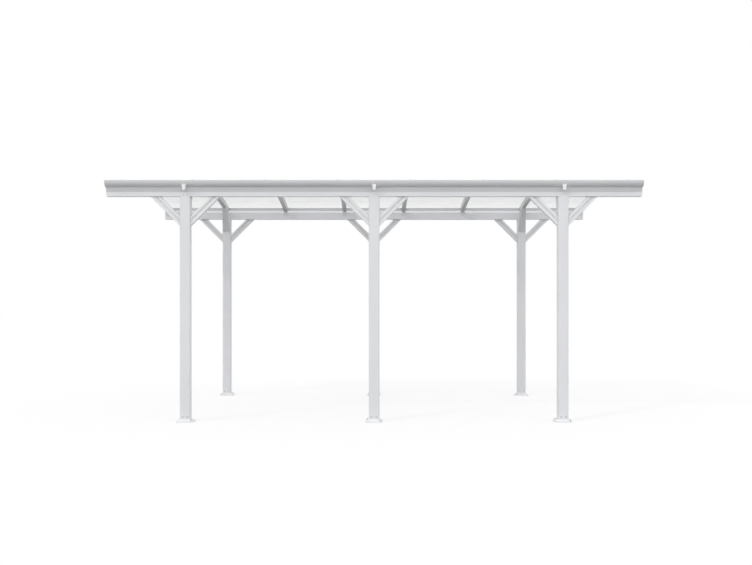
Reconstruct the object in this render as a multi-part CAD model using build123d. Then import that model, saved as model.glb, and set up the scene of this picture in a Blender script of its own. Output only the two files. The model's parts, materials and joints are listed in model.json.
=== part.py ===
from build123d import *
import math
import os

os.makedirs("parts", exist_ok=True)

# Layout: X runs along the gutters, Y across the car bay, Z up from the ground
panel_count = 7
panel_pitch = 706.0
bay_pitch_share = 2.5
post_bay = panel_pitch * bay_pitch_share
post_half_span = 1380.0
gutter_z = 2107.0
half_share = 0.5
both = 2
quarter_turn = 90.0

# Straight cut across a corner, as a share of the round that it touches
tangent_cut_share = 2 - math.sqrt(2)

# Posts: extruded tubes with tongues on their front and back walls that clasp the gutter
post_width = 100.0
post_depth = 90.0
post_corner = 15.0
post_wall = 3.0
post_tongue = 22.0
post_tongue_width = 54.0
post_tongue_corner = 6.0

# Feet: flange with a bevelled collar that the post stands in
foot_size = 160.0
foot_corner = 10.0
foot_thick = 12.0
foot_edge = 3.0
collar_height = 18.0
collar_low = 14.0
collar_high = 4.0
collar_corner = 6.0
socket_clear = 0.2
anchor_circle = 175.4
anchor_turn = 45.0
anchor_hole_r = 5.5

# Gutters: trough, sloped band and a quarter-round front with a turned hem
gutter_wall = 2.0
gutter_half_trough = post_depth * half_share - post_wall
gutter_inner_height = 72.0
gutter_inner_hem = 10.0
gutter_band_height = 39.0
gutter_slope_out = 22.0
gutter_slope_rise = 46.0
gutter_round = 55.0
gutter_lip_rise = 3.0
gutter_hem = 10.0
gutter_hem_drop = 6.0
gutter_end_margin = 29.0
end_cap_thick = 3.0
end_cap_back = 10.0
end_cap_inner = 95.0

# Brackets that prop the quarter-round front at each post
bracket_width = 38.0
bracket_low_width = 26.0
bracket_nose = 8.0
bracket_low = 50.0
bracket_high = 107.0
bracket_reach = 50.0
bracket_lean = 4.0

# Knee braces: grooved tubes set at 45 degrees
brace_in_plane = 64.0
brace_across = 60.0
brace_corner = 2.0
brace_wall = 2.0
brace_groove = 18.0
brace_groove_depth = 8.0
brace_drop = 274.0
brace_angle = 45.0

# Cross braces: channels that rise to the ribs and taper from the post's width to the rib's
cross_brace_drop = 154.0
cross_brace_width = 95.0
cross_brace_depth = 48.0
cross_brace_wall = 3.0
cross_brace_angle = 54.0
cross_brace_lean = 5.0

# Roof arch: the ribs' underside is one circular arc that passes over the gutters' inner walls
arch_radius = 8640.0
arch_clear = 24.4
arch_window = 700.0
rib_width = 45.0
rib_height = 45.0
rib_wall = 2.5

# Shoes that hold the ribs on the gutters' inner walls
shoe_plate = 4.0
shoe_lap = 26.0
shoe_flange = 40.0

# Eave rails that close the ribs' ends
rail_depth = 28.0
rail_setback = 18.0
rail_height = 31.0
rail_wall = 2.0

# Roof panels and the caps that clamp their edges to the ribs
panel_thick = 6.0
panel_gap = 6.0
panel_overhang = 38.0
cap_width = 42.0
cap_crown = 30.0
cap_height = 8.0
trim_leg = 3.0
trim_drop = 31.0
trim_edge = 2.0

# Sizes that follow from those above
roof_length = panel_count * panel_pitch
gutter_length = roof_length + gutter_end_margin * both
channel_length = gutter_length - end_cap_thick * both
inner_wall_y = post_half_span - gutter_half_trough
post_inner_y = post_half_span - post_depth * half_share
rail_y = post_half_span - rail_setback
inner_wall_z = gutter_z + gutter_inner_height
shoe_low_z = inner_wall_z - shoe_lap
cross_brace_z = gutter_z - cross_brace_drop
brace_spare = brace_drop * both
arch_centre_z = inner_wall_z + arch_clear - math.sqrt(arch_radius**2 - inner_wall_y**2)
arch_crown_z = arch_centre_z + arch_radius
rib_top_radius = arch_radius + rib_height
rail_low_z = arch_centre_z + math.sqrt(rib_top_radius**2 - rail_y**2) - rail_height
panel_half_span = post_half_span + panel_overhang
panel_top_radius = rib_top_radius + panel_thick
cap_top_radius = panel_top_radius + cap_height
rib_xs = [(i - panel_count * half_share) * panel_pitch for i in range(panel_count + 1)]
panel_xs = [(i - (panel_count - 1) * half_share) * panel_pitch for i in range(panel_count)]
post_xs = {"left": -post_bay, "middle": 0, "right": post_bay}
gutter_top = gutter_band_height + gutter_slope_rise + gutter_round + gutter_lip_rise
slope_end_o = gutter_half_trough + gutter_slope_out
slope_end_z = gutter_band_height + gutter_slope_rise
lip_o = slope_end_o + gutter_round


def across(x, y, z):
    # Plane whose local x is +Y and local y is +Z, extruding along +X
    return Plane(origin=(x, y, z), x_dir=(0, 1, 0), z_dir=(1, 0, 0))


def upright(x, y, z):
    # Plane whose local x is +X and local y is +Z, extruding along -Y
    return Plane(origin=(x, y, z), x_dir=(1, 0, 0), z_dir=(0, -1, 0))


def block(low, high):
    sizes = [b - a for a, b in zip(low, high)]
    return Pos(*low) * Box(*sizes, align=(Align.MIN, Align.MIN, Align.MIN))


def to_front(shape):
    return mirror(shape, about=Plane.XZ)


def save(name, shapes):
    solids = [s for shape in shapes for s in shape.solids()]
    export_step(solids[0] if len(solids) == 1 else Compound(solids), f"parts/{name}.step")


def arch_band(low_radius, high_radius, half_span):
    ring = Circle(high_radius) - Circle(low_radius)
    return ring & (Pos(0, low_radius) * Rectangle(half_span * both, arch_window))


def arch_solid(x, width, face):
    return extrude(across(x - width * half_share, 0, arch_centre_z) * face, amount=width)


def under_arch(x, width, radius):
    return arch_solid(x, width, Circle(radius))


def cut_rectangle(width, depth, corner):
    return chamfer(Rectangle(width, depth).vertices(), corner)


def post_section():
    outer = RectangleRounded(post_width, post_depth, post_corner)
    void_width, void_depth = post_width - post_wall * both, post_depth - post_wall * both
    void_cut = (post_corner - post_wall) * tangent_cut_share
    return outer - cut_rectangle(void_width, void_depth, void_cut)


def brace_section():
    # Tube with a groove along the two faces that look along local y
    outer = cut_rectangle(brace_in_plane, brace_across, brace_corner)
    void = Rectangle(brace_in_plane - brace_wall * both, brace_across - brace_wall * both)
    for side in (-1, 1):
        face = side * brace_across * half_share
        outer -= Pos(0, face) * Rectangle(brace_groove, brace_groove_depth * both)
        land = Pos(0, face - side * brace_wall)
        void -= land * Rectangle(brace_groove + brace_wall * both, brace_groove_depth * both)
    return outer - void


def gutter_skin(inset):
    # Lower skin from the inner wall's foot to the top of the quarter-round, set in by the inset
    half = gutter_half_trough - inset
    tilt = math.atan2(gutter_slope_rise, gutter_slope_out)
    knee = (half, gutter_band_height + inset * math.tan((math.pi * half_share - tilt) * half_share))
    start = (slope_end_o - inset * math.tan(tilt * half_share), slope_end_z + inset)
    low = Polyline((-half, inset), (half, inset), knee, start)
    centre = (slope_end_o, slope_end_z + gutter_round)
    front = CenterArc(centre, gutter_round - inset, -quarter_turn, quarter_turn)
    edges = [*low.edges(), *front.edges()]
    if inset:
        edges.append(Line(start, (slope_end_o, slope_end_z + inset)).edge())
    return edges


def make_gutter():
    wall = gutter_wall
    half, lip_top = gutter_half_trough, slope_end_z + gutter_round
    inner_hem = Polyline(
        (-half, 0),
        (-half, gutter_inner_height),
        (-half + gutter_inner_hem, gutter_inner_height),
        (-half + gutter_inner_hem, gutter_inner_height - wall),
        (-half + wall, gutter_inner_height - wall),
        (-half + wall, wall),
    )
    lip_hem = Polyline(
        (lip_o, lip_top),
        (lip_o, gutter_top),
        (lip_o - gutter_hem, gutter_top),
        (lip_o - gutter_hem, gutter_top - gutter_hem_drop),
        (lip_o - gutter_hem + wall, gutter_top - gutter_hem_drop),
        (lip_o - gutter_hem + wall, gutter_top - wall),
        (lip_o - wall, gutter_top - wall),
        (lip_o - wall, lip_top),
    )
    hems = [*inner_hem.edges(), *lip_hem.edges()]
    face = make_face(gutter_skin(0) + gutter_skin(wall) + hems)
    start = -channel_length * half_share
    return extrude(across(start, post_half_span, gutter_z) * face, amount=channel_length)


def make_end_cap(x):
    closing = Polyline(
        (lip_o, slope_end_z + gutter_round),
        (lip_o, gutter_top),
        (end_cap_back, gutter_top),
        (-gutter_half_trough, end_cap_inner),
        (-gutter_half_trough, 0),
    )
    face = make_face(gutter_skin(0) + [*closing.edges()])
    return extrude(across(x, post_half_span, gutter_z) * face, amount=end_cap_thick)


def bracket_shield(x):
    # Front view of a bracket, with sides that taper to a nose with cut corners, through its whole depth
    half, low_half = bracket_width * half_share, bracket_low_width * half_share
    nose_half, shoulder = low_half - bracket_nose, bracket_low + bracket_nose
    outline = Polyline(
        (-half, bracket_high),
        (half, bracket_high),
        (low_half, shoulder),
        (nose_half, bracket_low),
        (-nose_half, bracket_low),
        (-low_half, shoulder),
        close=True,
    )
    start = upright(x, post_half_span + lip_o, gutter_z)
    return extrude(start * make_face(outline.edges()), amount=lip_o)


def make_bracket(x):
    # Prop with its back on the sloped band and the quarter-round
    rise_share = (bracket_low - gutter_band_height) / gutter_slope_rise
    low_o = gutter_half_trough + gutter_slope_out * rise_share
    drop = slope_end_z + gutter_round - bracket_high
    high_o = slope_end_o + math.sqrt(gutter_round**2 - drop**2)
    front_o = slope_end_o + bracket_reach
    turn = math.acos(drop / gutter_round) * half_share
    back_mid = (
        slope_end_o + gutter_round * math.sin(turn),
        slope_end_z + gutter_round * (1 - math.cos(turn)),
    )
    outline = [
        Line((low_o, bracket_low), (slope_end_o, slope_end_z)),
        ThreePointArc((slope_end_o, slope_end_z), back_mid, (high_o, bracket_high)),
        Line((high_o, bracket_high), (front_o, bracket_high)),
        Line((front_o, bracket_high), (front_o - bracket_lean, bracket_low)),
        Line((front_o - bracket_lean, bracket_low), (low_o, bracket_low)),
    ]
    face = make_face([edge for line in outline for edge in line.edges()])
    start = across(x - bracket_width * half_share, post_half_span, gutter_z)
    return extrude(start * face, amount=bracket_width) & bracket_shield(x)


def make_post(x):
    # Tube cut off under the gutter, but for a tongue on its front and back walls
    height = gutter_z + post_tongue - foot_thick
    tube = extrude(Pos(x, post_half_span, foot_thick) * post_section(), amount=height)
    top = gutter_z + post_tongue * both
    crown = block(
        (x - post_width, post_half_span - post_depth, gutter_z),
        (x + post_width, post_half_span + post_depth, top),
    )
    outline = cut_rectangle(post_tongue_width, post_tongue * both, post_tongue_corner)
    start = upright(x, post_half_span + post_depth, gutter_z)
    tongue = extrude(start * outline, amount=post_depth * both)
    trough = block(
        (x - post_width, post_half_span - gutter_half_trough, gutter_z),
        (x + post_width, post_half_span + gutter_half_trough, top),
    )
    return tube - (crown - tongue) - trough


def collar_outline(spread, corner, z):
    # Post outline spread outwards, with its corners cut
    return Pos(0, 0, z) * cut_rectangle(post_width + spread * both, post_depth + spread * both, corner)


def make_foot(x):
    # Flange with two anchor holes in opposite corners and a sloping collar that holds the post
    plate = extrude(cut_rectangle(foot_size, foot_size, foot_corner), amount=foot_thick)
    plate = chamfer(plate.edges().group_by(Axis.Z)[-1], foot_edge)
    low = collar_outline(collar_low, collar_corner + collar_low, foot_thick)
    high = collar_outline(collar_high, collar_corner + collar_high, foot_thick + collar_height)
    socket_cut = (post_corner + socket_clear) * tangent_cut_share
    socket = extrude(collar_outline(socket_clear, socket_cut, foot_thick), amount=collar_height)
    foot = plate + loft([low, high], ruled=True) - socket
    for spot in PolarLocations(anchor_circle * half_share, both, anchor_turn):
        foot -= extrude(spot * Circle(anchor_hole_r), amount=foot_thick)
    return Pos(x, post_half_span, 0) * foot


def make_long_brace(x, side):
    # Bar rising away from the post side, mitred to the post and the gutter underside
    post_side = x + side * post_width * half_share
    slant = brace_in_plane * half_share / math.cos(math.radians(brace_angle))
    middle = (post_side, post_half_span, gutter_z - brace_drop + slant)
    rise = math.tan(math.radians(brace_angle))
    plane = Plane(origin=middle, x_dir=(-side * rise, 0, 1), z_dir=(side, 0, rise))
    reach = post_side + side * brace_drop * both
    low_x, high_x = sorted((post_side, reach))
    room = block(
        (low_x, post_half_span - brace_across, gutter_z - brace_drop * both),
        (high_x, post_half_span + brace_across, gutter_z),
    )
    return extrude(plane * brace_section(), amount=brace_spare, both=True) & room


def cross_brace_bar(x, inset):
    # Bar rising from the post's inner face, seen from the side and then from the front, less an inset
    rise = math.tan(math.radians(cross_brace_angle))
    height = arch_crown_z - cross_brace_z
    reach_y = post_inner_y - height / rise
    foot_z = cross_brace_z + inset / math.cos(math.radians(cross_brace_angle))
    lift = cross_brace_depth / math.cos(math.radians(cross_brace_angle))
    side_view = Polyline(
        (post_inner_y, foot_z),
        (post_inner_y, foot_z + lift),
        (reach_y, foot_z + lift + height),
        (reach_y, foot_z + height),
        close=True,
    )
    half = cross_brace_width * half_share - inset
    top = height + lift
    top_half = half - top * math.tan(math.radians(cross_brace_lean))
    front_view = Polyline((-half, 0), (half, 0), (top_half, top), (-top_half, top), close=True)
    bar = extrude(across(x - half, 0, 0) * make_face(side_view.edges()), amount=half * both)
    front = upright(x, post_inner_y, cross_brace_z)
    return bar & extrude(front * make_face(front_view.edges()), amount=post_inner_y)


def make_cross_brace(x):
    # Channel with its open side up, cut to the rib's underside
    channel = cross_brace_bar(x, 0) - cross_brace_bar(x, cross_brace_wall)
    return channel & under_arch(x, cross_brace_width, arch_radius)


def make_rib(x):
    skin = arch_solid(x, rib_width, arch_band(arch_radius, rib_top_radius, rail_y))
    void_band = arch_band(arch_radius + rib_wall, rib_top_radius - rib_wall, rail_y)
    return skin - arch_solid(x, rib_width - rib_wall * both, void_band)


def make_shoe(x):
    # Angle bracket: a leg on the gutter's inner wall and a flange under the rib
    half = rib_width * half_share
    leg = block(
        (x - half, inner_wall_y - shoe_plate, shoe_low_z), (x + half, inner_wall_y, arch_crown_z)
    )
    leg = leg & under_arch(x, rib_width * both, arch_radius)
    band = arch_solid(x, rib_width, arch_band(arch_radius - shoe_plate, arch_radius, inner_wall_y))
    reach = block(
        (x - half, inner_wall_y - shoe_flange, 0), (x + half, inner_wall_y, arch_crown_z)
    )
    return leg + (band & reach)


def make_rail():
    length = roof_length + rib_width
    outer = block((0, rail_y, rail_low_z), (length, rail_y + rail_depth, arch_crown_z))
    inner = block(
        (0, rail_y + rail_wall, rail_low_z + rail_wall),
        (length, rail_y + rail_depth - rail_wall, arch_crown_z),
    )
    start = Pos(-length * half_share, 0, 0)
    outer = (start * outer) & under_arch(0, length, rib_top_radius)
    inner = (start * inner) & under_arch(0, length, rib_top_radius - rail_wall)
    return outer - inner


def make_panel(x):
    return arch_solid(
        x, panel_pitch - panel_gap, arch_band(rib_top_radius, panel_top_radius, panel_half_span)
    )


def turned(points):
    # Turns an outline of X and radius about the arch's axis, over the panels' length
    axis = Axis((0, 0, arch_centre_z), (1, 0, 0))
    angle = math.degrees(math.asin(panel_half_span / panel_top_radius))
    outline = [(x, 0, arch_centre_z + radius) for x, radius in points]
    face = make_face(Polyline(*outline, close=True).edges())
    return revolve(face.rotate(axis, -angle), axis=axis, revolution_arc=angle * both)


def make_cap(x):
    half, crown = cap_width * half_share, cap_crown * half_share
    return turned(
        [
            (x - half, panel_top_radius),
            (x + half, panel_top_radius),
            (x + crown, cap_top_radius),
            (x - crown, cap_top_radius),
        ]
    )


def make_edge_trim(x):
    # Angle over the end rib, with its inner half on the panel and its leg down the rib's outer side
    out = math.copysign(1, x)
    half, crown, rib_face = cap_width * half_share, cap_crown * half_share, rib_width * half_share
    leg_face = rib_face + trim_leg
    return turned(
        [
            (x - out * half, panel_top_radius),
            (x + out * rib_face, panel_top_radius),
            (x + out * rib_face, rib_top_radius - trim_drop),
            (x + out * leg_face, rib_top_radius - trim_drop),
            (x + out * leg_face, panel_top_radius + trim_edge),
            (x + out * crown, cap_top_radius),
            (x - out * crown, cap_top_radius),
        ]
    )


sides = {"front": to_front, "back": lambda shape: shape}
gutter = make_gutter()
end_caps = [make_end_cap(-gutter_length * half_share), make_end_cap(channel_length * half_share)]
rail = make_rail()
shoes = [make_shoe(x) for x in rib_xs]
cross_braces = [make_cross_brace(x) for x in post_xs.values() if x]
brackets = [make_bracket(x) for x in post_xs.values()]
for side, placed in sides.items():
    for place, x in post_xs.items():
        save(f"post_{side}_{place}", [placed(make_post(x))])
        save(f"foot_{side}_{place}", [placed(make_foot(x))])
        pair = [make_long_brace(x, -1), make_long_brace(x, 1)]
        save(f"braces_{side}_{place}", [placed(brace) for brace in pair])
    save(f"cross_braces_{side}", [placed(brace) for brace in cross_braces])
    save(f"gutter_{side}", [placed(gutter)])
    save(f"gutter_caps_{side}", [placed(cap) for cap in end_caps])
    save(f"rib_shoes_{side}", [placed(shoe) for shoe in shoes])
    save(f"eave_rail_{side}", [placed(rail)])
save("gutter_brackets", [placed(b) for placed in sides.values() for b in brackets])
for i, x in enumerate(rib_xs):
    save(f"rib_{i + 1}", [make_rib(x)])
for i, x in enumerate(panel_xs):
    save(f"roof_panel_{i + 1}", [make_panel(x)])
trims = [make_edge_trim(rib_xs[0]), make_edge_trim(rib_xs[-1])]
save("glazing_caps", trims + [make_cap(x) for x in rib_xs[1:-1]])
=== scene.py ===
"""Looks of the carport: finishes, fasteners, sheets and seals, studio light and camera, in metres."""

import json
import math

import bmesh
import bpy
from mathutils import Matrix, Vector


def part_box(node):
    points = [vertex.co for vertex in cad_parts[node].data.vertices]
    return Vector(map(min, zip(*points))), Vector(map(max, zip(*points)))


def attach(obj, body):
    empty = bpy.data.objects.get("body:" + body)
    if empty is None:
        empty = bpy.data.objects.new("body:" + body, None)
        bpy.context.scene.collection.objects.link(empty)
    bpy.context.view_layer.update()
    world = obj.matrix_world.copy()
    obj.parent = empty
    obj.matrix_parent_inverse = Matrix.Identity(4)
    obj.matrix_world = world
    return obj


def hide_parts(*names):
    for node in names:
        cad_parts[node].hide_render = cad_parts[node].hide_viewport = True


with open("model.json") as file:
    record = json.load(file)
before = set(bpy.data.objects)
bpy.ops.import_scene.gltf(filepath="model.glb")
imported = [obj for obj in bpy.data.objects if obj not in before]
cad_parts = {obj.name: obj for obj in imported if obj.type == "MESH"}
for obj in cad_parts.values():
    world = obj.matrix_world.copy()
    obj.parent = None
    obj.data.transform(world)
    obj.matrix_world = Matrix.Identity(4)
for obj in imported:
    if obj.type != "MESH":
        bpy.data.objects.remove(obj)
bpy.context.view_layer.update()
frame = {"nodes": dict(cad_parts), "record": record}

# Sizes of the part that the pieces sit on
RIBS = 8
ARCH_RADIUS = 8.640
RIB_HEIGHT = 0.045
PANEL_THICK = 0.006
CAP_WIDTH = 0.042
CAP_HEIGHT = 0.008
FOOT_THICK = 0.012
BRACE_IN_PLANE = 0.064
GROOVE_DEPTH = 0.008
CROSS_BRACE_WIDTH = 0.095
CROSS_BRACE_DEPTH = 0.048
CROSS_BRACE_ANGLE = math.radians(54)
CROSS_BRACE_LEAN = math.radians(5)
SHOE_PLATE = 0.004
POST_TONGUE = 0.022
SIDES = {"front": -1, "back": 1}
PLACES = ("left", "middle", "right")

# Twin-wall sheet: flutes along the arch, with a shallow valley over each web
FLUTES = 64
VALLEY = 0.0003
ARCH_STEPS = 44
WEB_SHARE = 0.09
HALF_FLUTE = 0.5

# Seals beside the caps and closing profiles on the sheets' ends
SEAL_WIDTH = 0.0015
SEAL_HEIGHT = 0.002
SEAL_END_GAP = 0.010
SEAL_STEPS = 6
PROFILE_WALL = 0.0011
PROFILE_LEG = 0.007
PROFILE_NOSE = 0.0022
PROFILE_CLEAR = 0.0001

# Fasteners: across flats, head height, washer radius and thickness
ANCHOR = {"flats": 0.017, "head": 0.008, "washer": 0.0105, "thick": 0.002}
POST_BOLT = {"flats": 0.013, "head": 0.0055, "washer": 0.0095, "thick": 0.0016}
CAP_SCREW = {"flats": 0.008, "head": 0.0042, "washer": 0.0075, "thick": 0.0018}
WASHER_EDGE_SHARE = 0.3
HEX_SHOULDER_SHARE = 0.18
HEX_TOP_SHARE = 0.88
STUD_RADIUS = 0.005
STUD_RISE = 0.009
STUD_EDGE_SHARE = 0.25
BUTTON_RADIUS = 0.0052
BUTTON_HEIGHT = 0.003
BUTTON_ARC = [math.radians(turn) for turn in (0, 25, 45, 62)]
RECESS_SHARE = 0.42
RECESS_TAPER_SHARE = 0.9
RECESS_HEIGHT_SHARES = (0.92, 0.35, 0.3)
SEAT = 0.0003
ROUND_SIDES = 24
HEX_SIDES = 6
SMOOTH_ANGLE = math.radians(35)

# Places and turns of the fasteners on their pieces
MM_PER_METRE = 1000
ANCHOR_DIAGONAL = math.radians(45)
ANCHOR_TURN = 0.3
POST_BOLT_Z = 0.049
POST_BOLT_X = 0.023
POST_BOLT_TURN = 0.2
TONGUE_SCREW_X = 0.015
BRACE_END_SHARES = (0.2, 0.8)
CROSS_SCREW_REACHES = (0.012, 0.150)
SHOE_SCREW_X = 0.012
SHOE_SCREW_RISE = 0.013
END_SCREW_SPOTS = ((0.014, 0.016), (0.070, 0.016), (0.112, 0.125))
CAP_SCREWS = 9
CAP_SCREW_SPAN_SHARE = 0.94
CAP_SCREW_TURN = 0.4

# Noise of the finishes: cells a metre and octaves of detail, and the range that it mostly keeps to
NOISES = {
    "coat_mottle": (3.0, 4.0),
    "coat_lines": (160.0, 1.0),
    "coat_peel": (700.0, 1.0),
    "plastic_cloud": (30.0, 3.0),
    "plastic_grain": (1500.0, 2.0),
    "zinc_cloud": (220.0, 3.0),
    "zinc_scratch": (2600.0, 2.0),
    "rubber_cloud": (90.0, 3.0),
    "sheet_haze": (5.0, 3.0),
}
NOISE_LOW = 0.3
NOISE_HIGH = 0.7

# Bumps of the finishes: strength and height
BUMPS = {
    "coat_lines": (0.10, 0.0002),
    "coat_peel": (0.12, 0.0001),
    "plastic_grain": (0.15, 0.0001),
    "zinc_scratch": (0.12, 0.0001),
    "rubber_cloud": (0.2, 0.0003),
    "sheet_web": (0.2, 0.0003),
}

# Powder coat: colours, direction of the draw lines, roughness, and painted shade in corners
WHITE = (0.83, 0.84, 0.86)
# Below: a lighter copy of the white, painted light, and a greyer copy, painted shade
LIT_WHITE = (0.87, 0.88, 0.90)
SHADED_WHITE = (0.69, 0.70, 0.72)
COAT_SHADES = (0.965, 1.02)
MOTTLE_SHARE = 0.65
ALONG_X = (0.01, 1, 1)
ALONG_Y = (1, 0.01, 1)
ALONG_Z = (1, 1, 0.01)
ALL_ROUND = (0.5, 0.5, 0.5)
COAT_ROUGHNESS = 0.36
FOOT_ROUGHNESS = 0.42
COAT_SMOOTHER = 0.05
COAT_ROUGHER = 0.06
COAT_IOR = 1.5
# Painted shade: colour and reach of the darkening that ambient occlusion puts in grooves and inner corners
CORNER_SHADE = (0.84, 0.84, 0.83, 1)
CORNER_SHADE_REACH = 0.025
CORNER_SHADE_SAMPLES = 6
CORNER_SHADE_FULL = 0.45
CORNER_SHADE_NONE = 0.95

# Painted light and shade by height: the front gutter's lip is painted darker, as shade, and the feet are
# painted paler at the floor, as light
LIP_DARKENING = 0.885
LIP_SHADE_START = 0.056
LIP_SHADE_FULL = 0.030
FOOT_LIGHTENING = 1.10
FOOT_LIGHT_TOP = 0.016

# Other finishes: darkest and lightest colour, and roughness from the smoothest to the roughest spot
PLASTIC_WHITE = (0.96, 0.96, 0.96)
PLASTIC_SHADE = 0.98
PLASTIC_ROUGHNESS = (0.26, 0.36)
PLASTIC_COAT_ROUGHNESS = 0.15
ZINC_COLOURS = ((0.58, 0.59, 0.60), (0.74, 0.75, 0.76))
ZINC_ROUGHNESS = (0.28, 0.46)
RUBBER_COLOURS = ((0.50, 0.50, 0.51), (0.58, 0.58, 0.59))
RUBBER_ROUGHNESS = (0.55, 0.75)
SHEET_COLOUR = (0.77, 0.80, 0.84)
SHEET_SHADE = 0.97
SHEET_ROUGHNESS = (0.16, 0.26)
SHEET_EAVE_ALPHA = 0.048
SHEET_CROWN_ALPHA = 0.197
SHEET_HAZE_ALPHA = 0.02
WEB_ALPHA = 0.36
SHEET_IOR = 1.58

# Floor and light
FLOOR_HALF = 60.0
FLOOR_ALBEDO = 0.27
FLOOR_GLOW = 0.586
FLOOR_SHADOW_SHARE = 0.45
SKY_HORIZON = 1.72
SKY_FALL = -1.12
SKY_FROM_RIGHT = 0.08
SKY_FROM_FRONT = 0.52
SUN_STRENGTH = 0.40
SUN_DIRECTION = (-0.52, -0.59, 0.616)
SUN_SOFTNESS = math.radians(6)

# Camera: square-on to the long side from a low eye, with lens and sensor in millimetres
CAMERA_PLACE = (0, -11.164, 1.130)
CAMERA_TILT = math.radians(90)
CAMERA_LENS = 50
CAMERA_SENSOR = 36
CAMERA_SHIFT_X = 0.00246
CAMERA_SHIFT_Y = 0.0246

# Places read from the frame
ribs = [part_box(f"rib_{i}") for i in range(1, RIBS + 1)]
rib_xs = [(low.x + high.x) / 2 for low, high in ribs]
panel_boxes = {f"roof_panel_{i}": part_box(f"roof_panel_{i}") for i in range(1, RIBS)}
panel_low, panel_high = panel_boxes["roof_panel_1"]
panel_width = panel_high.x - panel_low.x
panel_half_span = panel_high.y
sheet_low_radius = ARCH_RADIUS + RIB_HEIGHT
sheet_top_radius = sheet_low_radius + PANEL_THICK
arch_centre_z = panel_high.z - sheet_top_radius
end_angle = math.asin(panel_half_span / sheet_top_radius)
gutter_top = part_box("gutter_front")[1].z


# Shader nodes

def new_material(name):
    material = bpy.data.materials.new(name)
    material.use_nodes = True
    tree = material.node_tree
    return material, tree, tree.nodes["Principled BSDF"]


def object_coords(tree):
    return tree.nodes.new("ShaderNodeTexCoord").outputs["Object"]


def split_axes(tree, vector):
    node = tree.nodes.new("ShaderNodeSeparateXYZ")
    tree.links.new(vector, node.inputs["Vector"])
    return node.outputs


def noise(tree, coords, pattern, stretch=(1, 1, 1)):
    """Noise of a named pattern, drawn out along an axis that the stretch makes small."""
    mapping = tree.nodes.new("ShaderNodeMapping")
    mapping.inputs["Scale"].default_value = stretch
    tree.links.new(coords, mapping.inputs["Vector"])
    texture = tree.nodes.new("ShaderNodeTexNoise")
    texture.inputs["Scale"].default_value, texture.inputs["Detail"].default_value = NOISES[pattern]
    tree.links.new(mapping.outputs["Vector"], texture.inputs["Vector"])
    return texture.outputs["Fac"]


def math_node(tree, operation, first, second):
    node = tree.nodes.new("ShaderNodeMath")
    node.operation = operation
    for socket, value in zip(node.inputs, (first, second)):
        if isinstance(value, (int, float)):
            socket.default_value = value
        else:
            tree.links.new(value, socket)
    return node.outputs["Value"]


def spread(tree, value, low, high, start=NOISE_LOW, end=NOISE_HIGH):
    """Maps a value between start and end to the range from low to high."""
    node = tree.nodes.new("ShaderNodeMapRange")
    for name, number in (("From Min", start), ("From Max", end), ("To Min", low), ("To Max", high)):
        node.inputs[name].default_value = number
    tree.links.new(value, node.inputs["Value"])
    return node.outputs["Result"]


def tint(tree, value, dark, light):
    """Colour that runs from dark to light over the range of a noise."""
    ramp = tree.nodes.new("ShaderNodeValToRGB")
    for element, position, colour in zip(ramp.color_ramp.elements, (NOISE_LOW, NOISE_HIGH), (dark, light)):
        element.position = position
        element.color = (*colour, 1.0)
    tree.links.new(value, ramp.inputs["Fac"])
    return ramp.outputs["Color"]


def multiply(tree, colour, by, factor):
    """Multiplies a colour by another one, as far as the factor says."""
    node = tree.nodes.new("ShaderNodeMix")
    node.data_type = "RGBA"
    node.blend_type = "MULTIPLY"
    node.inputs["B"].default_value = by
    tree.links.new(factor, node.inputs["Factor"])
    tree.links.new(colour, node.inputs["A"])
    return node.outputs["Result"]


def bump(tree, height, kind, below=None):
    node = tree.nodes.new("ShaderNodeBump")
    node.inputs["Strength"].default_value, node.inputs["Distance"].default_value = BUMPS[kind]
    tree.links.new(height, node.inputs["Height"])
    if below is not None:
        tree.links.new(below, node.inputs["Normal"])
    return node.outputs["Normal"]


def shade(colour, factor):
    return tuple(channel * factor for channel in colour)


# Materials

def painted_shade_in_corners(tree, colour):
    """Darkens a colour in grooves and inner corners by ambient occlusion: painted shade."""
    near = tree.nodes.new("ShaderNodeAmbientOcclusion")
    near.samples = CORNER_SHADE_SAMPLES
    near.inputs["Distance"].default_value = CORNER_SHADE_REACH
    return multiply(tree, colour, CORNER_SHADE, spread(tree, near.outputs["AO"], 1.0, 0.0, CORNER_SHADE_FULL, CORNER_SHADE_NONE))


def painted_light_by_height(tree, coords, colour, change, start, end):
    """Leaves a colour as it is at the start height and multiplies it by the change at the end height: painted
    light or shade.
    """
    height = split_axes(tree, coords)["Z"]
    return multiply(tree, colour, (change, change, change, 1), spread(tree, height, 0.0, 1.0, start, end))


def powder_coat(name, colour, stretch, roughness=COAT_ROUGHNESS, light_by_height=None, corner_shaded=True):
    """Satin powder coat with orange peel, faint draw lines along the extrusion, painted shade in grooves and
    inner corners and, where given, painted light or shade by height.
    """
    material, tree, shader = new_material(name)
    coords = object_coords(tree)
    mottle = noise(tree, coords, "coat_mottle")
    lines = noise(tree, coords, "coat_lines", stretch)
    peel = noise(tree, coords, "coat_peel")
    mottle_part = math_node(tree, "MULTIPLY", mottle, MOTTLE_SHARE)
    lines_part = math_node(tree, "MULTIPLY", lines, 1 - MOTTLE_SHARE)
    mixed = math_node(tree, "ADD", mottle_part, lines_part)
    dark, light = COAT_SHADES
    coat = tint(tree, mixed, shade(colour, dark), shade(colour, light))
    # Painted light or shade by height, where given
    if light_by_height:
        coat = painted_light_by_height(tree, coords, coat, *light_by_height)
    # Painted shade in grooves and inner corners
    if corner_shaded:
        coat = painted_shade_in_corners(tree, coat)
    tree.links.new(coat, shader.inputs["Base Color"])
    rough = spread(tree, mixed, roughness - COAT_SMOOTHER, roughness + COAT_ROUGHER)
    tree.links.new(rough, shader.inputs["Roughness"])
    under = bump(tree, lines, "coat_lines")
    tree.links.new(bump(tree, peel, "coat_peel", under), shader.inputs["Normal"])
    shader.inputs["IOR"].default_value = COAT_IOR
    return material


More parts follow.
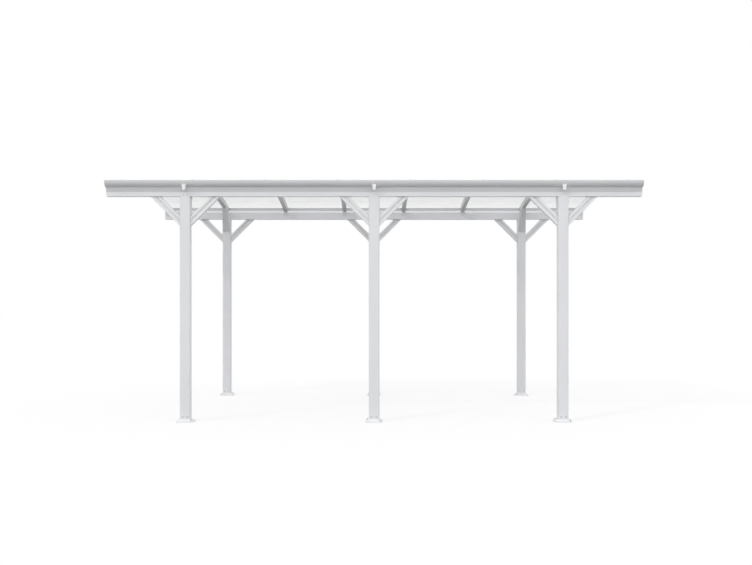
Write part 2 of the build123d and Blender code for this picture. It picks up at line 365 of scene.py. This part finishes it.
def moulded_plastic(name):
    """Glossy white plastic with a fine grain."""
    material, tree, shader = new_material(name)
    coords = object_coords(tree)
    cloud = noise(tree, coords, "plastic_cloud")
    grain = noise(tree, coords, "plastic_grain")
    colour = tint(tree, cloud, shade(PLASTIC_WHITE, PLASTIC_SHADE), PLASTIC_WHITE)
    tree.links.new(colour, shader.inputs["Base Color"])
    tree.links.new(spread(tree, cloud, *PLASTIC_ROUGHNESS), shader.inputs["Roughness"])
    tree.links.new(bump(tree, grain, "plastic_grain"), shader.inputs["Normal"])
    shader.inputs["Coat Weight"].default_value = 1.0
    shader.inputs["Coat Roughness"].default_value = PLASTIC_COAT_ROUGHNESS
    return material


def zinc_steel(name):
    """Zinc-plated steel, cloudy and finely scratched."""
    material, tree, shader = new_material(name)
    coords = object_coords(tree)
    cloud = noise(tree, coords, "zinc_cloud")
    scratch = noise(tree, coords, "zinc_scratch")
    tree.links.new(tint(tree, cloud, *ZINC_COLOURS), shader.inputs["Base Color"])
    tree.links.new(spread(tree, cloud, *ZINC_ROUGHNESS), shader.inputs["Roughness"])
    tree.links.new(bump(tree, scratch, "zinc_scratch"), shader.inputs["Normal"])
    shader.inputs["Metallic"].default_value = 1.0
    return material


def seal_rubber(name):
    """Dull grey rubber."""
    material, tree, shader = new_material(name)
    cloud = noise(tree, object_coords(tree), "rubber_cloud")
    tree.links.new(tint(tree, cloud, *RUBBER_COLOURS), shader.inputs["Base Color"])
    tree.links.new(spread(tree, cloud, *RUBBER_ROUGHNESS), shader.inputs["Roughness"])
    tree.links.new(bump(tree, cloud, "rubber_cloud"), shader.inputs["Normal"])
    return material


def twin_wall(name):
    """Clear sheet whose webs show as fine pale lines along the arch, and which is less clear towards its
    crown.
    """
    material, tree, shader = new_material(name)
    coords = object_coords(tree)
    axes = split_axes(tree, coords)
    flute = math_node(tree, "MULTIPLY", axes["X"], FLUTES / panel_width)
    from_web = math_node(tree, "PINGPONG", flute, HALF_FLUTE)
    web = spread(tree, from_web, 1.0, 0.0, WEB_SHARE / 2, WEB_SHARE)
    haze = noise(tree, coords, "sheet_haze")
    colour = tint(tree, haze, shade(SHEET_COLOUR, SHEET_SHADE), SHEET_COLOUR)
    tree.links.new(colour, shader.inputs["Base Color"])
    from_crown = math_node(tree, "MULTIPLY", axes["Y"], axes["Y"])
    opacity_towards_crown = spread(tree, from_crown, SHEET_CROWN_ALPHA, SHEET_EAVE_ALPHA, 0.0, panel_half_span**2)
    skin_alpha = math_node(tree, "ADD", opacity_towards_crown, spread(tree, haze, -SHEET_HAZE_ALPHA, SHEET_HAZE_ALPHA))
    web_alpha = math_node(tree, "MULTIPLY", web, WEB_ALPHA)
    tree.links.new(math_node(tree, "MAXIMUM", skin_alpha, web_alpha), shader.inputs["Alpha"])
    tree.links.new(spread(tree, haze, *SHEET_ROUGHNESS), shader.inputs["Roughness"])
    tree.links.new(bump(tree, web, "sheet_web"), shader.inputs["Normal"])
    shader.inputs["IOR"].default_value = SHEET_IOR
    return material


lip_painted_shade = (LIP_DARKENING, gutter_top - LIP_SHADE_START, gutter_top - LIP_SHADE_FULL)
foot_painted_light = (FOOT_LIGHTENING, FOOT_LIGHT_TOP, FOOT_THICK)
# The back gutter and braces have a lighter white, painted light; the ribs and eave rails a greyer white,
# painted shade; the front gutter's lip and the feet have painted light or shade by height.
coat_up = powder_coat("coat_upright", WHITE, ALONG_Z)
coat_long = powder_coat("coat_lengthwise", WHITE, ALONG_X)
coat_front_gutter = powder_coat("coat_front_gutter", WHITE, ALONG_X, light_by_height=lip_painted_shade)
coat_back_gutter = powder_coat("coat_back_gutter", LIT_WHITE, ALONG_X)
coat_across = powder_coat("coat_across", WHITE, ALONG_Y)
coat_rib = powder_coat("coat_rib", SHADED_WHITE, ALONG_Y)
coat_rail = powder_coat("coat_rail", SHADED_WHITE, ALONG_X)
coat_plain = powder_coat("coat_plain", WHITE, ALL_ROUND)
coat_brace = powder_coat("coat_brace", LIT_WHITE, ALL_ROUND)
coat_foot = powder_coat("coat_foot", WHITE, ALL_ROUND, FOOT_ROUGHNESS, foot_painted_light, corner_shaded=False)
plastic = moulded_plastic("bracket_plastic")
steel = zinc_steel("zinc_steel")
rubber = seal_rubber("seal_rubber")
sheet = twin_wall("twin_wall_sheet")

FINISHES = {
    "post_": coat_up,
    "foot_": coat_foot,
    "braces_": coat_brace,
    "cross_braces_": coat_plain,
    "gutter_front": coat_front_gutter,
    "gutter_back": coat_back_gutter,
    "gutter_caps_": coat_plain,
    "gutter_brackets": plastic,
    "rib_": coat_rib,
    "rib_shoes_": coat_plain,
    "eave_rail_": coat_rail,
    "roof_panel_": sheet,
    "glazing_caps": coat_across,
}
for node, obj in frame["nodes"].items():
    start = max((key for key in FINISHES if node.startswith(key)), key=len)
    for slot in obj.material_slots:
        slot.material = FINISHES[start]


# Mesh helpers

def piece(name, bm, material, place=(0, 0, 0)):
    """Makes an object of the mesh, smooth up to an angle, that rides on the part."""
    mesh = bpy.data.meshes.new(name)
    bm.to_mesh(mesh)
    bm.free()
    mesh.shade_smooth()
    mesh.set_sharp_from_angle(angle=SMOOTH_ANGLE)
    mesh.materials.append(material)
    return place_mesh(name, mesh, place)


def place_mesh(name, mesh, place):
    obj = bpy.data.objects.new(name, mesh)
    bpy.context.scene.collection.objects.link(obj)
    obj.location = place
    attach(obj, "root")
    return obj


def facing(point, outward, turn=0.0):
    """Matrix that stands a fastener's axis on a surface point."""
    upright = Vector(outward).to_track_quat("Z", "Y").to_matrix().to_4x4()
    return Matrix.Translation(point) @ upright @ Matrix.Rotation(turn, 4, "Z")


def lathe(bm, profile, place, sides):
    """Adds a closed turned solid, from the axis at its foot to the axis at its top."""
    rings = []
    for radius, height in profile:
        count = sides if radius else 1
        turns = [k * math.tau / sides for k in range(count)]
        points = [(radius * math.cos(t), radius * math.sin(t), height) for t in turns]
        rings.append([bm.verts.new(place @ Vector(p)) for p in points])
    for low, high in zip(rings, rings[1:]):
        for k in range(sides):
            after = k + 1
            corners = [low[k % len(low)], low[after % len(low)], high[after % len(high)], high[k % len(high)]]
            bm.faces.new(list(dict.fromkeys(corners)))


def sweep(bm, rings):
    """Joins rings of points into a closed bar."""
    rows = [[bm.verts.new(p) for p in ring] for ring in rings]
    count = len(rows[0])
    for low, high in zip(rows, rows[1:]):
        for k in range(count):
            after = (k + 1) % count
            bm.faces.new([low[k], low[after], high[after], high[k]])
    bm.faces.new(rows[0][::-1])
    bm.faces.new(rows[-1])
    bmesh.ops.recalc_face_normals(bm, faces=bm.faces[:])


def arch_point(x, radius, angle):
    return Vector((x, radius * math.sin(angle), arch_centre_z + radius * math.cos(angle)))


# Kinds of fastener

def washer(bm, place, sizes):
    radius, thick = sizes["washer"], sizes["thick"]
    edge = thick * WASHER_EDGE_SHARE
    profile = [(0, -SEAT), (radius, -SEAT), (radius, thick - edge), (radius - edge, thick), (0, thick)]
    lathe(bm, profile, place, ROUND_SIDES)


def hex_head(bm, place, sizes):
    """Washer and hexagon head with its corners turned off."""
    washer(bm, place, sizes)
    corner = sizes["flats"] / 2 / math.cos(math.pi / HEX_SIDES)
    low, high = sizes["thick"], sizes["thick"] + sizes["head"]
    foot = low - SEAT
    shoulder = high - sizes["head"] * HEX_SHOULDER_SHARE
    profile = [(0, foot), (corner, foot), (corner, shoulder), (corner * HEX_TOP_SHARE, high), (0, high)]
    lathe(bm, profile, place, HEX_SIDES)


def anchor_nut(bm, place):
    """Nut and washer on the end of an anchor stud."""
    hex_head(bm, place, ANCHOR)
    top = ANCHOR["thick"] + ANCHOR["head"] + STUD_RISE
    edge = STUD_RADIUS * STUD_EDGE_SHARE
    profile = [(0, 0), (STUD_RADIUS, 0), (STUD_RADIUS, top - edge), (STUD_RADIUS - edge, top), (0, top)]
    lathe(bm, profile, place, ROUND_SIDES)


def button_screw(bm, place):
    """Low round head with a drive recess."""
    dome = [(BUTTON_RADIUS * math.cos(t), BUTTON_HEIGHT * math.sin(t)) for t in BUTTON_ARC]
    mouth = BUTTON_RADIUS * RECESS_SHARE
    rim, wall_foot, bottom = (BUTTON_HEIGHT * share for share in RECESS_HEIGHT_SHARES)
    recess = [(mouth, rim), (mouth * RECESS_TAPER_SHARE, wall_foot), (0, bottom)]
    lathe(bm, [(0, -SEAT), (BUTTON_RADIUS, -SEAT), *dome, *recess], place, ROUND_SIDES)


# Roof sheets

def sheet_mesh():
    """Twin-wall sheet with a valley over each web on both skins."""
    bm = bmesh.new()
    columns = 2 * FLUTES + 1
    skins = {}
    for skin, radius, inward in (("low", sheet_low_radius, 1), ("top", sheet_top_radius, -1)):
        for row in range(ARCH_STEPS + 1):
            y = panel_half_span * (2 * row / ARCH_STEPS - 1)
            for column in range(columns):
                reach = radius + (0 if column % 2 else inward * VALLEY)
                z = arch_centre_z + math.sqrt(reach**2 - y**2)
                x = panel_width * column / (columns - 1)
                skins[skin, row, column] = bm.verts.new((x, y, z))
    for row in range(ARCH_STEPS):
        for column in range(columns - 1):
            steps = [(row, column), (row, column + 1), (row + 1, column + 1), (row + 1, column)]
            bm.faces.new([skins["top", *s] for s in steps])
            bm.faces.new([skins["low", *s] for s in reversed(steps)])
    last_column = columns - 1
    rim = [(0, c) for c in range(columns)]
    rim += [(r, last_column) for r in range(1, ARCH_STEPS + 1)]
    rim += [(ARCH_STEPS, c) for c in range(last_column - 1, -1, -1)]
    rim += [(r, 0) for r in range(ARCH_STEPS - 1, 0, -1)]
    for here, after in zip(rim, rim[1:] + rim[:1]):
        corners = [("low", *here), ("low", *after), ("top", *after), ("top", *here)]
        bm.faces.new([skins[c] for c in corners])
    return bm


def add_sheets():
    """Puts one twin-wall sheet, all of the same mesh, in the place of each roof panel."""
    mesh = None
    for node, (low, _) in panel_boxes.items():
        name = node.replace("roof_panel", "twin_wall_sheet")
        place = (low.x, 0, 0)
        if mesh is None:
            made = piece(name, sheet_mesh(), sheet, place)
            mesh = made.data
        else:
            made = place_mesh(name, mesh, place)
        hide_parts(node)


def add_cap_seals():
    """Half-round seals along both sides of each cap, where a sheet lies beside it."""
    bm = bmesh.new()
    seal_angle = math.asin((panel_half_span - SEAL_END_GAP) / sheet_top_radius)
    angles = [seal_angle * (2 * k / ARCH_STEPS - 1) for k in range(ARCH_STEPS + 1)]
    half_round = [math.pi * k / SEAL_STEPS for k in range(SEAL_STEPS + 1)]
    seat_radius = sheet_top_radius - SEAT
    for rib_x in rib_xs:
        for side in (-1, 1):
            if not rib_xs[0] <= rib_x + side * CAP_WIDTH <= rib_xs[-1]:
                continue
            middle = rib_x + side * (CAP_WIDTH + SEAL_WIDTH) / 2
            outline = [(middle - math.cos(t) * SEAL_WIDTH / 2, math.sin(t) * SEAL_HEIGHT) for t in half_round]
            sweep(bm, [[arch_point(x, seat_radius + h, a) for x, h in outline] for a in angles])
    piece("cap_seals", bm, rubber)


def add_end_profiles():
    """Channel over the end of each sheet, between the seals."""
    bm = bmesh.new()
    gap = PANEL_THICK / 2 + PROFILE_CLEAR
    skin = gap + PROFILE_WALL
    web = PROFILE_NOSE - PROFILE_WALL
    outer = [(-PROFILE_LEG, skin), (PROFILE_NOSE, skin), (PROFILE_NOSE, -skin), (-PROFILE_LEG, -skin)]
    inner = [(-PROFILE_LEG, -gap), (web, -gap), (web, gap), (-PROFILE_LEG, gap)]
    inset = CAP_WIDTH / 2 + SEAL_WIDTH
    for left, right in zip(rib_xs, rib_xs[1:]):
        for side in SIDES.values():
            angle = side * end_angle
            out = Vector((0, side * math.cos(angle), -side * math.sin(angle)))
            up = Vector((0, math.sin(angle), math.cos(angle)))
            rings = []
            for x in (left + inset, right - inset):
                middle = arch_point(x, sheet_top_radius - PANEL_THICK / 2, angle)
                rings.append([middle + out * reach + up * rise for reach, rise in outer + inner])
            sweep(bm, rings)
    piece("sheet_end_profiles", bm, coat_long)


# Fasteners

def add_anchor_bolts():
    bm = bmesh.new()
    for mount in frame["record"]["mounts"]:
        if mount["kind"] != "bolt_pattern":
            continue
        x, y, _ = mount["pos_m"]
        reach = mount["dims"]["pcd_mm"] / MM_PER_METRE / 2 * math.cos(ANCHOR_DIAGONAL)
        for way in (-1, 1):
            spot = (x + way * reach, y + way * math.copysign(reach, y), FOOT_THICK)
            anchor_nut(bm, facing(spot, (0, 0, 1), ANCHOR_TURN * way))
    piece("anchor_bolts", bm, steel)


def post_faces():
    """Middle, depth, outward direction and top of the front and back face of each post."""
    for side in SIDES:
        for place in PLACES:
            low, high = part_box(f"post_{side}_{place}")
            for face, out in ((low.y, -1), (high.y, 1)):
                yield (low.x + high.x) / 2, face, out, high.z


def add_post_bolts():
    bm = bmesh.new()
    for middle, face, out, _ in post_faces():
        for way in (-1, 1):
            spot = (middle + way * POST_BOLT_X, face, POST_BOLT_Z)
            hex_head(bm, facing(spot, (0, out, 0), POST_BOLT_TURN * way), POST_BOLT)
    piece("post_bolts", bm, steel)


def add_tongue_screws():
    bm = bmesh.new()
    for middle, face, out, top in post_faces():
        for way in (-1, 1):
            spot = (middle + way * TONGUE_SCREW_X, face, top - POST_TONGUE / 2)
            button_screw(bm, facing(spot, (0, out, 0)))
    piece("tongue_screws", bm, steel)


def knee_brace_screws(bm, side):
    """Screws in the grooves at both ends of each knee brace, front and back."""
    slant = BRACE_IN_PLANE / 2 * math.sqrt(2)
    for place in PLACES:
        low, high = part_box(f"braces_{side}_{place}")
        post_low, post_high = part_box(f"post_{side}_{place}")
        run = high.z - low.z - slant
        for start, way in ((post_low.x, -1), (post_high.x, 1)):
            for share in BRACE_END_SHARES:
                x, z = start + way * run * share, low.z + slant + run * share
                button_screw(bm, facing((x, low.y + GROOVE_DEPTH, z), (0, -1, 0)))
                button_screw(bm, facing((x, high.y - GROOVE_DEPTH, z), (0, 1, 0)))


def cross_brace_screws(bm, side):
    """Screws in both flanges of each brace across the bay, near the post."""
    sign = SIDES[side]
    low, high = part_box(f"cross_braces_{side}")
    outer = high.y if sign > 0 else low.y
    for place in ("left", "right"):
        post_low, post_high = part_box(f"post_{side}_{place}")
        middle = (post_low.x + post_high.x) / 2
        for reach in CROSS_SCREW_REACHES:
            half_depth = CROSS_BRACE_DEPTH / 2 / math.cos(CROSS_BRACE_ANGLE)
            rise = reach * math.tan(CROSS_BRACE_ANGLE) + half_depth
            half_width = CROSS_BRACE_WIDTH / 2 - rise * math.tan(CROSS_BRACE_LEAN)
            for way in (-1, 1):
                spot = (middle + way * half_width, outer - sign * reach, low.z + rise)
                outward = (way * math.cos(CROSS_BRACE_LEAN), 0, math.sin(CROSS_BRACE_LEAN))
                button_screw(bm, facing(spot, outward))


def add_brace_screws():
    bm = bmesh.new()
    for side in SIDES:
        knee_brace_screws(bm, side)
        cross_brace_screws(bm, side)
    piece("brace_screws", bm, steel)


def add_shoe_screws():
    bm = bmesh.new()
    for side, sign in SIDES.items():
        low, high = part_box(f"rib_shoes_{side}")
        face = high.y - SHOE_PLATE if sign > 0 else low.y + SHOE_PLATE
        for rib_x in rib_xs:
            for way in (-1, 1):
                spot = (rib_x + way * SHOE_SCREW_X, face, low.z + SHOE_SCREW_RISE)
                button_screw(bm, facing(spot, (0, -sign, 0)))
    piece("shoe_screws", bm, steel)


def add_end_cap_screws():
    bm = bmesh.new()
    for side, sign in SIDES.items():
        low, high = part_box(f"gutter_caps_{side}")
        inner = low.y if sign > 0 else high.y
        for face, way in ((low.x, -1), (high.x, 1)):
            for reach, rise in END_SCREW_SPOTS:
                button_screw(bm, facing((face, inner + sign * reach, low.z + rise), (way, 0, 0)))
    piece("end_cap_screws", bm, steel)


def add_cap_screws():
    bm = bmesh.new()
    for rib_x in rib_xs:
        for k in range(CAP_SCREWS):
            angle = end_angle * CAP_SCREW_SPAN_SHARE * (2 * k / (CAP_SCREWS - 1) - 1)
            spot = arch_point(rib_x, sheet_top_radius + CAP_HEIGHT, angle)
            outward = (0, math.sin(angle), math.cos(angle))
            hex_head(bm, facing(spot, outward, CAP_SCREW_TURN * k), CAP_SCREW)
    piece("cap_screws", bm, steel)


# Floor, light and camera

def seen_directly(tree):
    """1 for rays that show the surface itself: from the camera, in reflections and through clear sheets."""
    path = tree.nodes.new("ShaderNodeLightPath")
    shown = math_node(tree, "MAXIMUM", path.outputs["Is Camera Ray"], path.outputs["Is Glossy Ray"])
    return math_node(tree, "MAXIMUM", shown, path.outputs["Is Transmission Ray"])


def floor_material():
    """White floor that keeps the shadow, and throws back only a little light."""
    material = bpy.data.materials.new("floor")
    material.use_nodes = True
    tree = material.node_tree
    tree.nodes.clear()
    output = tree.nodes.new("ShaderNodeOutputMaterial")
    mix = tree.nodes.new("ShaderNodeMixShader")
    bounce = tree.nodes.new("ShaderNodeBsdfDiffuse")
    bounce.inputs["Color"].default_value = (FLOOR_ALBEDO, FLOOR_ALBEDO, FLOOR_ALBEDO, 1)
    shown = tree.nodes.new("ShaderNodeAddShader")
    glow = tree.nodes.new("ShaderNodeEmission")
    glow.inputs["Strength"].default_value = FLOOR_GLOW
    shadow = tree.nodes.new("ShaderNodeBsdfDiffuse")
    shadow.inputs["Color"].default_value = (FLOOR_SHADOW_SHARE, FLOOR_SHADOW_SHARE, FLOOR_SHADOW_SHARE, 1)
    tree.links.new(glow.outputs[0], shown.inputs[0])
    tree.links.new(shadow.outputs[0], shown.inputs[1])
    tree.links.new(seen_directly(tree), mix.inputs["Fac"])
    tree.links.new(bounce.outputs[0], mix.inputs[1])
    tree.links.new(shown.outputs[0], mix.inputs[2])
    tree.links.new(mix.outputs[0], output.inputs["Surface"])
    return material


def make_floor():
    mesh = bpy.data.meshes.new("floor")
    h = FLOOR_HALF
    mesh.from_pydata([(-h, -h, 0), (h, -h, 0), (h, h, 0), (-h, h, 0)], [], [(0, 1, 2, 3)])
    floor = bpy.data.objects.new("floor", mesh)
    bpy.context.scene.collection.objects.link(floor)
    mesh.materials.append(floor_material())


def make_world():
    """Soft sky, brightest at the horizon in front, behind a white background."""
    world = bpy.data.worlds.new("studio")
    bpy.context.scene.world = world
    world.use_nodes = True
    tree = world.node_tree
    tree.nodes.clear()
    output = tree.nodes.new("ShaderNodeOutputWorld")
    mix = tree.nodes.new("ShaderNodeMixShader")
    light = tree.nodes.new("ShaderNodeBackground")
    white = tree.nodes.new("ShaderNodeBackground")
    white.inputs["Color"].default_value = (1, 1, 1, 1)
    axes = split_axes(tree, tree.nodes.new("ShaderNodeTexCoord").outputs["Generated"])
    forward = math_node(tree, "MINIMUM", axes["Y"], 0.0)
    changes = ((axes["X"], SKY_FROM_RIGHT), (forward, -SKY_FROM_FRONT), (axes["Z"], SKY_FALL))
    strength = SKY_HORIZON
    for way, change in changes:
        strength = math_node(tree, "ADD", math_node(tree, "MULTIPLY", way, change), strength)
    tree.links.new(strength, light.inputs["Strength"])
    tree.links.new(seen_directly(tree), mix.inputs["Fac"])
    tree.links.new(light.outputs[0], mix.inputs[1])
    tree.links.new(white.outputs[0], mix.inputs[2])
    tree.links.new(mix.outputs[0], output.inputs["Surface"])


def make_sun():
    lamp = bpy.data.lights.new("key", "SUN")
    lamp.energy = SUN_STRENGTH
    lamp.angle = SUN_SOFTNESS
    sun = bpy.data.objects.new("key", lamp)
    bpy.context.scene.collection.objects.link(sun)
    sun.rotation_euler = Vector(SUN_DIRECTION).to_track_quat("Z", "Y").to_euler()


def make_camera():
    lens = bpy.data.cameras.new("camera")
    lens.lens = CAMERA_LENS
    lens.sensor_width = CAMERA_SENSOR
    lens.shift_x = CAMERA_SHIFT_X
    lens.shift_y = CAMERA_SHIFT_Y
    camera = bpy.data.objects.new("camera", lens)
    bpy.context.scene.collection.objects.link(camera)
    camera.location = CAMERA_PLACE
    camera.rotation_euler = (CAMERA_TILT, 0, 0)
    bpy.context.scene.camera = camera


add_sheets()
add_cap_seals()
add_end_profiles()
add_anchor_bolts()
add_post_bolts()
add_tongue_screws()
add_brace_screws()
add_shoe_screws()
add_end_cap_screws()
add_cap_screws()
make_floor()
make_world()
make_sun()
make_camera()
bpy.context.scene.view_settings.view_transform = "Standard"
